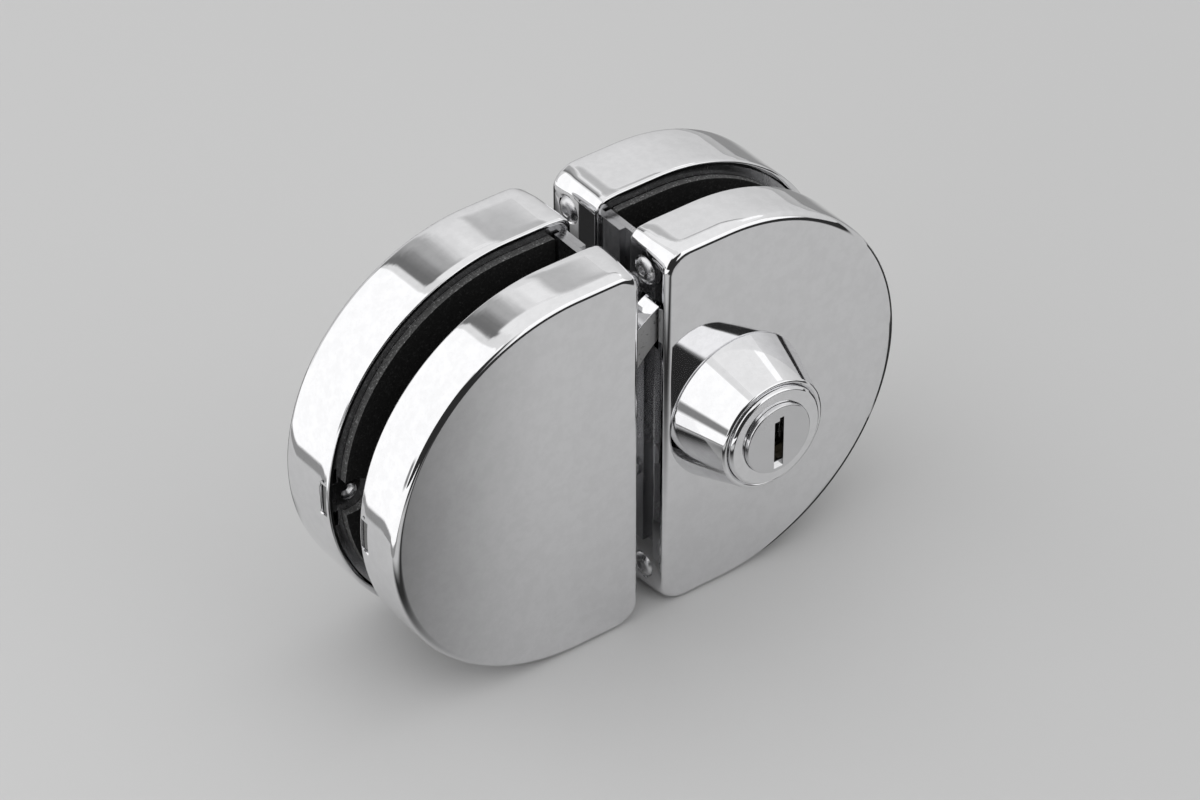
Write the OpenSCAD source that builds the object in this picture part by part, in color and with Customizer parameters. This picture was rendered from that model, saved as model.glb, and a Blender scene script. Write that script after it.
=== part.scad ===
// Clamp-on lock for a pair of frameless glass doors: a lock half with a key cylinder and a hook bolt,
// and a strike half that the bolt swings into. Millimetres. X runs along the doors, Y to the back, Z up.
// The origin lies midway between the two halves, on the middle plane of the glass, at the cylinder's height.

/* [Halves] */
// Height of each half
half_h = 100; // [94:1:116]
// Width of each half, from its straight side to its round end
half_w = 67; // [62:1:80]
// Radius of the corners at the straight side
corner_r = 3.5; // [2.5:0.25:5]
// Gap between the straight sides of the two halves
gap = 7; // [5:0.5:10]

/* [Covers] */
// Thickness of the cover sheet
sheet = 1.2; // [0.8:0.1:1.4]
// Outer radius of the edge between a cover's face and its rim
edge_r = 1.75; // [1.6:0.05:2.4]
// Depth of the rim of a front cover
front_depth = 13.6; // [13:0.1:18]
// Depth of the rim of a rear cover
rear_depth = 17.2; // [14:0.2:22]

/* [Glass clamp] */
// Thickness of the glass that the halves clamp
glass_t = 10; // [8:0.5:12]
// How far the pads stand out past the covers' edges
pad_proud = 1; // [0.6:0.1:1.4]
// Thickness of the rubber pads
pad_t = 2; // [1.9:0.1:3]
// Strip of bracket plate that shows round a pad
pad_margin = 2.2; // [1.2:0.1:4]
// Thickness of the bracket sheet
plate_t = 1.6; // [1.2:0.1:2]
// Space between a bracket and the inside of a cover's rim
plate_space = 0.6; // [0.3:0.1:1]
// Half height of the webs that tie the front and rear brackets
web_half = 46; // [40:0.5:46.5]

/* [Cover fixings] */
// Width of the tab that hooks a bracket into a cover's rim
tab_w = 8; // [5:0.5:12]
// Width of the relief notch on each side of a tab
notch_w = 4; // [2:0.5:6]
// Depth of the relief notches
notch_d = 1.6; // [1:0.1:2]
// Diameter of the small hole beside each tab slot
dot_d = 0.9; // [0.7:0.1:1.6]
// Height of the cover screws above and below the middle
screw_y = 42; // [40:0.5:43]
// Depth of the front covers' screws behind the face
front_screw_in = 7.8; // [6:0.1:8]
// Depth of the rear covers' screws behind the face
rear_screw_in = 6.8; // [6:0.1:9]
// Thread diameter of the cover screws
screw_d = 3; // [2.5:0.5:3]
// Head diameter of the cover screws
screw_head_d = 6.4; // [5.6:0.1:6.6]
// Head height of the cover screws
screw_head_h = 1.6; // [1.3:0.1:2]

/* [Clamp screws] */
// Thread diameter of the clamp screws
clamp_d = 4; // [3:0.5:5]
// Length of the clamp screws
clamp_len = 6; // [5:0.5:8]
// How far the screws' tips are backed out of the brackets
clamp_back = 0.8; // [0.4:0.1:1.4]
// Distance of the end clamp screw from the round end
clamp_end = 6.4; // [6.2:0.1:9]
// Distance of the other clamp screws from the straight side
clamp_x = 13; // [11:0.5:16]
// Height of the other clamp screws above and below the middle
clamp_y = 31; // [24:0.5:36]

/* [Cylinder] */
// Distance of the cylinder's axis from the lock half's straight side
cyl_x = 20; // [19.5:0.25:22]
// Length of the cone collar in front of the face
collar_h = 13.8; // [12.5:0.1:18]
// Diameter of the collar where it meets the face
collar_base_d = 37.6; // [34:0.2:39]
// Diameter of the collar at its lip
collar_lip_d = 28; // [27.6:0.1:30]
// Diameter of the cylinder body's head
body_d = 25.4; // [25:0.1:25.6]
// How far the cylinder body stands out of the collar
body_raise = 1; // [0.4:0.1:2]
// Diameter of the body's barrel where it passes the cover
barrel_d = 23; // [22.4:0.1:24]
// Diameter of the plug's head
plug_head_d = 18; // [17:0.1:19]
// Diameter of the plug inside the body
plug_d = 16.4; // [16:0.1:16.8]
// How far the plug stands out of the body
plug_raise = 1.1; // [0.4:0.1:1.4]
// Height of the keyway's main slot
key_h = 12; // [10:0.1:13]
// Width of the keyway's main slot
key_w = 2.6; // [2:0.1:3]
// How far the main slot's middle lies below the plug's axis
key_drop = 1; // [0:0.1:1.4]

/* [Bolt] */
// Outer radius of the hook bolt about the cylinder's axis
bolt_r = 39.4; // [37:0.2:40.4]
// Width of the hook's curved band
bolt_band = 7.4; // [6:0.2:9]
// Thickness of the bolt
bolt_t = 5.4; // [4:0.1:5.6]
// Angle of the hook's tip when locked, from the far side round by the top
tip_angle = 184; // [178:1:186]
// Angle along the hook from its arm to its tip
hook_angle = 78; // [72:1:84]
// Angle through which the key swings the bolt
bolt_swing = 90; // [84:1:96]

/* [Hidden] */
$fn = 96;

// Clearances
fit = 0.05;
slot_fit = 0.3;
way = 0.6;
past = 2;

// The D outline
end_r = half_h / 2;
round_x = half_w - end_r;
least_corner = 0.8;

// Depths from the glass's middle plane, the same to the front and to the back
slot_half = glass_t / 2 + pad_proud;
plate_in = glass_t / 2 + pad_t;
plate_out = plate_in + plate_t;
plate_mid = (plate_in + plate_out) / 2;
front_face = slot_half + front_depth;
rear_face = slot_half + rear_depth;

// The brackets: the rear one's flange lies against the straight wall, and the front one's web lies inside it
plate_inset = sheet + plate_space;
flange_x = sheet;
web_x = flange_x + plate_t;
web_end = web_x + plate_t;
web_overlap = 1;
pad_inset = plate_inset + pad_margin;
pad_side = web_end + way;
ear_half = 4;
ear_past = 3.6;
tab_short = 0.7;
rivet_d = 3;
rivet_y = 26;
rivet_head_d = 5;
rivet_head_h = 0.8;
rivet_z = (web_overlap - plate_in + way) / 2;

// Cover screws
front_screw_z = front_face - front_screw_in;
rear_screw_z = rear_face - rear_screw_in;
screw_seat = 0.5;
screw_len = 5;
screw_socket_d = 2.5;
screw_socket_deep = 1.1;

// Clamp screws
clamp_nut_d = 8;
clamp_nut_h = 4;
clamp_socket_d = 2.3;
clamp_room_d = 9;
clamp_places = [[half_w - clamp_end, 0], [clamp_x, clamp_y], [clamp_x, -clamp_y]];

// The cylinder, front to back along its axis
lip_round = 1;
body_bevel = 0.6;
collar_end = front_face + collar_h;
body_face = collar_end + body_raise;
plug_head_in = 1.6;
plug_face = body_face + plug_raise;
clip_t = 1;
clip_z = front_face - sheet - clip_t;
clip_d = 30;
clip_groove = 1.1;
barrel_tail = 0.9;
barrel_end = clip_z - barrel_tail;
key_notch_w = 1.2;
key_notch_h = 0.9;
key_deep = 15;

// Wafers that the key lifts, in slots across the plug
wafer_count = 5;
wafer_pitch = 2.4;
wafer_t = 1.2;
wafer_w = 7;
wafer_first = plug_face - 4.8;
wafer_window_h = 8;
lug_w = 1.8;
lug_h = 1.4;
lug_y = 1;
spring_d = 1.1;
spring_h = 5;

// The bolt on the plug's square tail
bolt_gap = 0.2;
bolt_front = barrel_end - bolt_gap;
bolt_back = bolt_front - bolt_t;
bolt_mid_r = bolt_r - bolt_band / 2;
hub_d = 25;
arm_w = 10;
arm_angle = tip_angle - hook_angle;
tail_w = 8;
tail_short = 0.2;
washer_t = 0.8;
washer_d = 12;
bolt_screw_d = 4;
bolt_screw_len = 6;
bolt_head_d = 8.4;
bolt_head_h = 2;
head_room_d = 14;

// The two pins that stop the bolt's arm at each end of its swing
stop_d = 4;
stop_orbit = 25;
stop_gap = 0.4;
stop_lead = asin((arm_w / 2 + stop_d / 2 + stop_gap) / stop_orbit);
stop_angles = [arm_angle + stop_lead, arm_angle - bolt_swing - stop_lead];
stop_top = bolt_front - past / 2;

// The openings that the bolt passes, in the lock half's wall and in the strike half's wall
wall_low = sqrt(pow(bolt_r - bolt_band, 2) - pow(cyl_x, 2)) - past;
wall_high = sqrt(pow(bolt_r, 2) - pow(cyl_x - sheet, 2)) + past / 2;
strike_reach = cyl_x + gap;
strike_high = sqrt(pow(bolt_r, 2) - pow(strike_reach, 2)) + past;
strike_low = bolt_mid_r * sin(tip_angle) - bolt_band / 2 - past;
keeper_t = 2;
keeper_edge = 5;

steel = [0.80, 0.81, 0.82];
dark_steel = [0.55, 0.56, 0.57];
rubber = [0.06, 0.06, 0.06];
brass = [0.75, 0.62, 0.35];

// Placing: a half is drawn on the page with x from its straight side, y up and z towards the front
module lock_side() rotate([90, 0, 0]) translate([gap / 2, 0, 0]) children();

module strike_side() rotate([90, 0, 0]) mirror([1, 0, 0]) translate([gap / 2, 0, 0]) children();

module cylinder_axis() lock_side() translate([cyl_x, 0, 0]) children();

module both_ways() for (v = [0, 1]) mirror([0, v, 0]) children();

// The D outline, moved in by inset, with its straight side at side
module d_shape(inset, side) {
    r = end_r - inset;
    c = max(corner_r - inset, least_corner);
    translate([round_x, 0]) intersection() {
        circle(r);
        translate([0, -r]) square([r, 2 * r]);
    }
    translate([side, c - r]) square([round_x - side, 2 * (r - c)]);
    both_ways() translate([side + c, r - c]) {
        square([round_x - side - c, c]);
        intersection() {
            circle(c);
            translate([-c, 0]) square(c);
        }
    }
}

// Sweeps a section round the D outline: the section's x runs inwards from the outline and its y to the front
module d_sweep() {
    translate([round_x, 0, 0]) rotate([0, 0, -90]) rotate_extrude(angle = 180)
        translate([end_r, 0]) mirror([1, 0]) children();
    both_ways() {
        translate([round_x, end_r, 0]) rotate([90, 0, -90]) linear_extrude(round_x - corner_r) children();
        translate([corner_r, end_r - corner_r, 0]) rotate([0, 0, 90]) rotate_extrude(angle = 90)
            translate([corner_r, 0]) mirror([1, 0]) children();
    }
    translate([0, end_r - corner_r, 0]) rotate([90, 0, 0]) linear_extrude(2 * (end_r - corner_r)) children();
}

// The section of a cover's rim with its rounded edge
module rim_section(face) {
    translate([0, slot_half]) square([sheet, face - edge_r - slot_half]);
    translate([edge_r, face - edge_r]) intersection() {
        difference() {
            circle(edge_r);
            circle(edge_r - sheet);
        }
        translate([-edge_r, 0]) square(edge_r);
    }
}

// A round hole or rod through the straight wall
module across(x, y, z, d, length, sides = $fn) translate([x, y, z]) rotate([0, 90, 0])
    cylinder(d = d, h = length, $fn = sides);

// A cover: pressed shell with screw seats in its straight wall, a tab slot and a small hole at its round end
module cover(face, screw_z) {
    difference() {
        union() {
            d_sweep() rim_section(face);
            translate([0, 0, face - sheet]) linear_extrude(sheet) d_shape(edge_r, edge_r);
        }
        both_ways() {
            across(-past, screw_y, screw_z, screw_d + 2 * fit, sheet + 2 * past);
            across(-past, screw_y, screw_z, screw_head_d + 2 * slot_fit, past + screw_seat);
        }
        translate([half_w - sheet - past, -tab_w / 2 - slot_fit, plate_in - slot_fit])
            cube([sheet + 2 * past, tab_w + 2 * slot_fit, plate_t + 2 * slot_fit]);
        across(half_w - sheet - past, tab_w / 2 + slot_fit + dot_d, plate_mid, dot_d, sheet + 2 * past);
    }
}

// A bracket's plate, with its tab and relief notches at the round end
module bracket_plate() {
    translate([0, 0, plate_in]) linear_extrude(plate_t) {
        difference() {
            d_shape(plate_inset, flange_x);
            both_ways() translate([half_w - plate_inset - notch_d, tab_w / 2])
                square([notch_d + past, notch_w]);
        }
        translate([half_w - plate_inset - notch_d, -tab_w / 2])
            square([plate_inset + notch_d - tab_short, tab_w]);
    }
}

// One ear's block, with spare room round it where another piece is cut to clear it
module bracket_ear(screw_z, room) translate([flange_x - room, screw_y - ear_half - room, plate_in - room])
    cube([plate_t + 2 * room, 2 * (ear_half + room), screw_z + ear_past - plate_in + 2 * room]);

// The ears that take a cover's screws, standing out from the plate against the straight wall
module bracket_ears(screw_z) {
    both_ways() difference() {
        bracket_ear(screw_z, 0);
        across(flange_x - past, screw_y, screw_z, screw_d + 2 * fit, plate_t + 2 * past);
    }
}

module rivet_holes() both_ways() across(0, rivet_y, rivet_z, rivet_d + 2 * fit, web_end + past);

module front_bracket() {
    difference() {
        union() {
            bracket_plate();
            bracket_ears(front_screw_z);
            translate([web_x, -web_half, way - plate_in]) cube([plate_t, 2 * web_half, 2 * plate_in - way]);
        }
        rivet_holes();
    }
}

module rear_bracket() {
    difference() {
        union() {
            mirror([0, 0, 1]) bracket_plate();
            mirror([0, 0, 1]) bracket_ears(rear_screw_z);
            translate([flange_x, -web_half, -plate_in])
                cube([plate_t, 2 * web_half, plate_in + web_overlap]);
        }
        rivet_holes();
        for (p = clamp_places) translate([p[0], p[1], -plate_out - past])
            cylinder(d = clamp_d + 2 * fit, h = plate_t + 2 * past);
    }
}

module pad() translate([0, 0, glass_t / 2]) linear_extrude(pad_t) d_shape(pad_inset, pad_side);

// The rear pad is cut away round the clamp screws, with the end one's room open to the round end
module rear_pad() {
    difference() {
        mirror([0, 0, 1]) pad();
        for (p = clamp_places) translate([p[0], p[1], -plate_in - past])
            cylinder(d = clamp_room_d, h = pad_t + 2 * past);
        translate([half_w - clamp_end, -clamp_room_d / 2, -plate_in - past])
            cube([clamp_end, clamp_room_d, pad_t + 2 * past]);
    }
}

// One domed cover screw, lying along x with its head seated in the straight wall
module cover_screw() {
    difference() {
        union() {
            rotate([0, 90, 0]) cylinder(d = screw_d, h = screw_len);
            rotate([0, -90, 0]) intersection() {
                cylinder(d = screw_head_d, h = screw_head_h);
                dome_r = (pow(screw_head_d / 2, 2) + pow(screw_head_h, 2)) / (2 * screw_head_h);
                translate([0, 0, screw_head_h - dome_r]) sphere(dome_r);
            }
        }
        translate([-screw_head_h - past, 0, 0]) rotate([0, 90, 0])
            cylinder(d = screw_socket_d, h = past + screw_socket_deep, $fn = 6);
    }
}

module cover_screws() {
    for (z = [front_screw_z, -rear_screw_z]) both_ways() translate([screw_seat, screw_y, z]) cover_screw();
}

module clamp_screws() {
    for (p = clamp_places) translate([p[0], p[1], -plate_in - clamp_back - clamp_len]) difference() {
        cylinder(d = clamp_d, h = clamp_len);
        translate([0, 0, -past]) cylinder(d = clamp_socket_d, h = past + clamp_len / 2, $fn = 6);
    }
}

module clamp_nuts() {
    for (p = clamp_places) translate([p[0], p[1], -plate_out - clamp_nut_h]) difference() {
        cylinder(d = clamp_nut_d, h = clamp_nut_h);
        translate([0, 0, -past]) cylinder(d = clamp_d + 2 * fit, h = clamp_nut_h + 2 * past);
    }
}

// Rivets through the overlapping flange and web, with heads on the gap side and ends flush with the web
module web_rivets() {
    both_ways() {
        across(flange_x, rivet_y, rivet_z, rivet_d, 2 * plate_t);
        across(flange_x - rivet_head_h, rivet_y, rivet_z, rivet_head_d, rivet_head_h);
    }
}

// Lock half
module lock_front_cover() color(steel) lock_side() difference() {
    cover(front_face, front_screw_z);
    translate([cyl_x, 0, front_face - sheet - past]) cylinder(d = barrel_d + 2 * fit, h = sheet + 2 * past);
    translate([-past, wall_low, bolt_back - way])
        cube([sheet + 2 * past, wall_high - wall_low, bolt_t + 2 * way]);
}

module lock_rear_cover() color(steel) lock_side() mirror([0, 0, 1]) cover(rear_face, rear_screw_z);

module lock_front_bracket() color(dark_steel) lock_side() difference() {
    front_bracket();
    translate([cyl_x, 0, plate_in - past]) cylinder(d = head_room_d, h = plate_t + 2 * past);
    for (a = stop_angles)
        translate([cyl_x, 0, plate_in - past]) rotate([0, 0, a]) translate([stop_orbit, 0, 0])
            cylinder(d = stop_d + 2 * fit, h = plate_t + 2 * past);
}

module lock_rear_bracket() color(dark_steel) lock_side() rear_bracket();
module lock_front_pad() color(rubber) lock_side() pad();
module lock_rear_pad() color(rubber) lock_side() rear_pad();
module lock_cover_screws() color(steel) lock_side() cover_screws();
module lock_clamp_screws() color(dark_steel) lock_side() clamp_screws();
module lock_clamp_nuts() color(dark_steel) lock_side() clamp_nuts();
module lock_web_rivets() color(steel) lock_side() web_rivets();

// The cone round the cylinder, with a rounded lip
module cylinder_collar() color(steel) cylinder_axis() translate([0, 0, front_face]) rotate_extrude() {
    bore = body_d / 2 + fit;
    slope = atan((collar_base_d - collar_lip_d) / (2 * collar_h));
    lip_x = collar_lip_d / 2 - lip_round;
    lip_y = collar_h - lip_round;
    difference() {
        union() {
            polygon([
                [0, 0], [collar_base_d / 2, 0],
                [lip_x + lip_round * cos(slope), lip_y + lip_round * sin(slope)],
                [lip_x, lip_y], [lip_x, collar_h], [0, collar_h]
            ]);
            translate([lip_x, lip_y]) circle(lip_round);
        }
        translate([-bore, -past]) square([2 * bore, collar_h + 2 * past]);
    }
}

// The fixed cylinder body: head in the collar, barrel through the cover, groove for the clip
module cylinder_body() color(steel) cylinder_axis() difference() {
    union() {
        translate([0, 0, front_face]) cylinder(d = body_d, h = body_face - body_bevel - front_face);
        translate([0, 0, body_face - body_bevel])
            cylinder(d1 = body_d, d2 = body_d - 2 * body_bevel, h = body_bevel);
        translate([0, 0, barrel_end]) cylinder(d = barrel_d, h = front_face - barrel_end);
    }
    translate([0, 0, barrel_end - past])
        cylinder(d = plug_d + 2 * fit, h = body_face - barrel_end + 2 * past);
    translate([0, 0, body_face - plug_head_in - fit])
        cylinder(d = plug_head_d + 2 * fit, h = plug_head_in + past);
    translate([0, 0, clip_z]) difference() {
        cylinder(d = barrel_d + past, h = clip_t);
        translate([0, 0, -past]) cylinder(d = barrel_d - 2 * clip_groove, h = clip_t + 2 * past);
    }
}

// The horseshoe clip that holds the cylinder body in the cover
module cylinder_clip() color(dark_steel) cylinder_axis() translate([0, 0, clip_z]) linear_extrude(clip_t)
    difference() {
        grip = barrel_d / 2 - clip_groove + fit;
        circle(d = clip_d);
        circle(grip);
        translate([-grip, -clip_d]) square([2 * grip, clip_d]);
    }

module stop_pins() color(dark_steel) cylinder_axis() for (a = stop_angles) rotate([0, 0, a])
    translate([stop_orbit, 0, plate_in]) cylinder(d = stop_d, h = stop_top - plate_in);

// Bolt group
module plug() color(steel) cylinder_axis() difference() {
    union() {
        translate([0, 0, body_face - plug_head_in]) cylinder(d = plug_head_d, h = plug_head_in + plug_raise);
        translate([0, 0, bolt_front]) cylinder(d = plug_d, h = body_face - plug_head_in - bolt_front);
        translate([-tail_w / 2, -tail_w / 2, bolt_back + tail_short])
            cube([tail_w, tail_w, bolt_t - tail_short]);
    }
    keyway();
    wafer_slots();
    translate([0, 0, bolt_back - past]) cylinder(d = bolt_screw_d + 2 * fit, h = bolt_screw_len + past);
}

// The keyway's upright slot, with a narrow notch at the top on one side
module keyway() translate([0, -key_drop, plug_face - key_deep]) linear_extrude(key_deep + past) {
    square([key_w, key_h], center = true);
    translate([key_w / 2 - key_notch_w, 0]) square([key_notch_w, key_h / 2 + key_notch_h]);
}

module at_wafers()
    for (i = [0 : wafer_count - 1]) translate([0, 0, wafer_first - i * wafer_pitch]) children();

module wafer_slots() at_wafers() translate([0, 0, -fit]) linear_extrude(wafer_t + 2 * fit) {
    square([wafer_w + 2 * fit, plug_d + past], center = true);
    translate([0, lug_y - spring_h]) square([wafer_w / 2 + lug_w + fit, spring_h + lug_h + lug_w]);
}

module wafers() color(brass) cylinder_axis() at_wafers() linear_extrude(wafer_t) difference() {
    union() {
        intersection() {
            circle(d = plug_d - 2 * fit);
            square([wafer_w, plug_d], center = true);
        }
        translate([0, lug_y]) square([wafer_w / 2 + lug_w, lug_h]);
    }
    translate([0, -key_drop]) square([key_w + 2 * slot_fit, wafer_window_h], center = true);
}

module wafer_springs() color(dark_steel) cylinder_axis() at_wafers()
    translate([wafer_w / 2 + lug_w / 2, lug_y, wafer_t / 2]) rotate([90, 0, 0])
        cylinder(d = spring_d, h = spring_h - fit);

// The hook bolt: a hub on the plug's tail, an arm, and a curved band about the same axis with a round tip
module hook_bolt() color(dark_steel) cylinder_axis() translate([0, 0, bolt_back]) linear_extrude(bolt_t)
    difference() {
        rotate(tip_angle) {
            circle(d = hub_d);
            hook_band();
            intersection() {
                circle(bolt_r);
                rotate(-hook_angle) translate([0, -arm_w / 2]) square([bolt_r + past, arm_w]);
            }
        }
        square(tail_w + 2 * fit, center = true);
    }

// The hook's curved band, drawn back from its tip on the x axis to the middle of the arm
module hook_band() {
    difference() {
        circle(bolt_r);
        circle(bolt_r - bolt_band);
        translate([-2 * bolt_r, 0]) square(4 * bolt_r);
        rotate(-hook_angle) translate([-2 * bolt_r, -4 * bolt_r]) square(4 * bolt_r);
    }
    translate([bolt_mid_r, 0]) intersection() {
        circle(d = bolt_band);
        translate([-bolt_band / 2, 0]) square([bolt_band, bolt_band / 2]);
    }
}

module bolt_washer() color(steel) cylinder_axis() translate([0, 0, bolt_back - washer_t]) difference() {
    cylinder(d = washer_d, h = washer_t);
    translate([0, 0, -past]) cylinder(d = bolt_screw_d + 2 * fit, h = washer_t + 2 * past);
}

module bolt_screw() color(steel) cylinder_axis() translate([0, 0, bolt_back - washer_t]) difference() {
    union() {
        cylinder(d = bolt_screw_d, h = bolt_screw_len);
        translate([0, 0, -bolt_head_h]) cylinder(d = bolt_head_d, h = bolt_head_h);
    }
    translate([0, 0, -bolt_head_h - past])
        cylinder(d = bolt_screw_d / 2, h = past + bolt_head_h / 2, $fn = 6);
}

// Strike half
module strike_window(spare) translate([-past, strike_low, bolt_back - spare])
    cube([sheet + keeper_t + 2 * past, strike_high - strike_low, bolt_t + 2 * spare]);

module strike_front_cover() color(steel) strike_side() difference() {
    cover(front_face, front_screw_z);
    strike_window(2 * way);
}

module strike_rear_cover() color(steel) strike_side() mirror([0, 0, 1]) cover(rear_face, rear_screw_z);
module strike_front_bracket() color(dark_steel) strike_side() front_bracket();
module strike_rear_bracket() color(dark_steel) strike_side() rear_bracket();
module strike_front_pad() color(rubber) strike_side() pad();
module strike_rear_pad() color(rubber) strike_side() rear_pad();
module strike_cover_screws() color(steel) strike_side() cover_screws();
module strike_clamp_screws() color(dark_steel) strike_side() clamp_screws();
module strike_clamp_nuts() color(dark_steel) strike_side() clamp_nuts();
module strike_web_rivets() color(steel) strike_side() web_rivets();

// The keeper: an upright plate behind the strike's wall on a foot along the bracket. It has a window for
// the bolt, and is cut clear of the ears and their screws.
module strike_keeper() color(dark_steel) strike_side() difference() {
    low = strike_low - keeper_edge;
    high = strike_high + keeper_edge;
    union() {
        translate([sheet, low, plate_out])
            cube([keeper_t, high - low, front_face - sheet - way - plate_out]);
        translate([sheet, low, plate_out]) cube([keeper_t + keeper_edge, high - low, plate_t]);
    }
    strike_window(way);
    bracket_ear(front_screw_z, way);
    across(flange_x, screw_y, front_screw_z, screw_d + 2 * way, screw_len);
}

lock_front_cover();
lock_rear_cover();
lock_front_bracket();
lock_rear_bracket();
lock_front_pad();
lock_rear_pad();
lock_cover_screws();
lock_clamp_screws();
lock_clamp_nuts();
lock_web_rivets();
cylinder_collar();
cylinder_body();
cylinder_clip();
stop_pins();
plug();
wafers();
wafer_springs();
hook_bolt();
bolt_washer();
bolt_screw();
strike_front_cover();
strike_rear_cover();
strike_front_bracket();
strike_rear_bracket();
strike_front_pad();
strike_rear_pad();
strike_cover_screws();
strike_clamp_screws();
strike_clamp_nuts();
strike_web_rivets();
strike_keeper();
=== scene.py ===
"""Clamp-on lock for a pair of frameless glass doors, dressed over its CAD frame."""

import math

import bmesh
import bpy
from mathutils import Euler, Matrix, Vector


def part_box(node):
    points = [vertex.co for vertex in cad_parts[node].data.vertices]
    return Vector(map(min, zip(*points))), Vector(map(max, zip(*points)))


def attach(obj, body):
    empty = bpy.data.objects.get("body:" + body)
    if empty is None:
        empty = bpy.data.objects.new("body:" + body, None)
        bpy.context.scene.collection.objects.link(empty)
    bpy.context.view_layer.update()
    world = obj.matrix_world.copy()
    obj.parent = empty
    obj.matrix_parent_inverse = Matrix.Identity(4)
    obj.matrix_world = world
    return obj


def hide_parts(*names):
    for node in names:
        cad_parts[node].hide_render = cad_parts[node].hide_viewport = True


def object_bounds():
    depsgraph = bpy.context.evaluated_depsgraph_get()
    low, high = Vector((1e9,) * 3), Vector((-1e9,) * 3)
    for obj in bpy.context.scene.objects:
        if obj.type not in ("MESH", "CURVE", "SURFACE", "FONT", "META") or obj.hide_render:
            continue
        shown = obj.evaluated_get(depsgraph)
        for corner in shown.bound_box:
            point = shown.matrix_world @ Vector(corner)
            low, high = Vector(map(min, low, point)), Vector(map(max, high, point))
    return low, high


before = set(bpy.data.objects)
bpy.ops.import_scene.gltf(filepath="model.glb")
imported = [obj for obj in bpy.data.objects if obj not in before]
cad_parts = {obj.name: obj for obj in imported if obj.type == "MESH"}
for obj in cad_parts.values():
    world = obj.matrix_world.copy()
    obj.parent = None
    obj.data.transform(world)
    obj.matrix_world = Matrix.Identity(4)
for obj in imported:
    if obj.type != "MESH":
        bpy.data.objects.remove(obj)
CAD_BOX = [list(corner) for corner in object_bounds()]

bl_info = {
    "name": "Glass door lock",
    "version": (1, 0, 0),
    "blender": (4, 5, 0),
    "location": "View3D > Sidebar > Door Lock",
    "description": "Builds the polished covers, cylinder, works and stage of a clamp-on glass door lock",
    "category": "Mesh",
}

RIGHT_ANGLE = math.radians(90)
HALF_TURN = math.radians(180)
FULL_TURN = math.radians(360)

# Distances in metres within which points are one, or lie on a plane, or lie on a ring
WELD = 2e-6
ON_PLANE = 1e-6
NEAR_RING = 3e-5

# Angles up to which a copy's faces are joined, and past which a piece's edges are rounded
JOIN_ANGLE = math.radians(0.4)
EDGE_ANGLE = math.radians(34.0)

# How squarely a face that lies along the glass looks through it
FACES_GLASS = 0.7

# Part of the sheet's thickness that belongs to its outer side
OUTER_PART = 0.7

# Part of the plug's radius within which the keyway's mouth lies
MOUTH_PART = 0.97

# Rings of the rim: past a screw's middle by part of its seat, and over the pillow by parts of its reach
SEAT_PART = 0.34
PILLOW_PARTS = (1.0, 0.66, 0.33, 0.0)

# Steps in which the straight wall's ends follow the widened corners
WALL_END_STEPS = 10

# Steps of a cover's curves: the turn to its face, its corners, their leads, its round end and its tab slot
EDGE_STEPS = 9
CORNER_STEPS = 12
LEAD_STEPS = 6
END_STEPS = 40
TAB_STEPS = 6

# Steps of the round pieces and holes
SEAT_STEPS = 40
BARREL_STEPS = 96
COLLAR_STEPS = 160
SCREW_STEPS = 36
DOME_STEPS = 7
SOCKET_SIDES = 6

# The camera's frame in millimetres, its near limit and the gap under cards on the floor in metres
FRAME_WIDTH = 36.0
NEAR_LIMIT = 0.01
CARD_LIFT = 0.0005

# Places taken from the frame
FRONT_LOW, FRONT_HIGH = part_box("lock_front_cover")
COLLAR_LOW, COLLAR_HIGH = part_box("cylinder_collar")
SCREWS_LOW, SCREWS_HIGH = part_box("lock_cover_screws")
SIDE_X = FRONT_LOW[0]
END_X = FRONT_HIGH[0]
END_R = (FRONT_HIGH[2] - FRONT_LOW[2]) / 2
ROUND_X = END_X - END_R
SLOT_HALF = -FRONT_HIGH[1]
FRONT_FACE = -FRONT_LOW[1]
REAR_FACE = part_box("lock_rear_cover")[1][1]
FLOOR_Z = CAD_BOX[0][2]
AXIS_X = (COLLAR_LOW[0] + COLLAR_HIGH[0]) / 2
COLLAR_BASE_R = (COLLAR_HIGH[0] - COLLAR_LOW[0]) / 2
COLLAR_BASE_Y = COLLAR_HIGH[1]
COLLAR_LIP_Y = COLLAR_LOW[1]


def length(name, about, default):
    """A size in metres for the sidebar."""
    return bpy.props.FloatProperty(
        name=name, description=about, default=default, min=0.0, precision=5, subtype="DISTANCE", unit="LENGTH"
    )


def angle(name, about, degrees):
    """An angle for the sidebar."""
    return bpy.props.FloatProperty(
        name=name, description=about, default=math.radians(degrees), subtype="ANGLE", unit="ROTATION"
    )


def colour(name, about, default):
    """A surface colour for the sidebar."""
    return bpy.props.FloatVectorProperty(
        name=name, description=about, default=default, size=3, min=0.0, max=1.0, subtype="COLOR"
    )


def share(name, about, default):
    """A number from nought to one for the sidebar."""
    return bpy.props.FloatProperty(
        name=name, description=about, default=default, min=0.0, max=1.0, subtype="FACTOR"
    )


def brightness(name, about, default):
    """How bright a card or the sky is, where one is white."""
    return bpy.props.FloatProperty(name=name, description=about, default=default, min=0.0, max=4.0)


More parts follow.
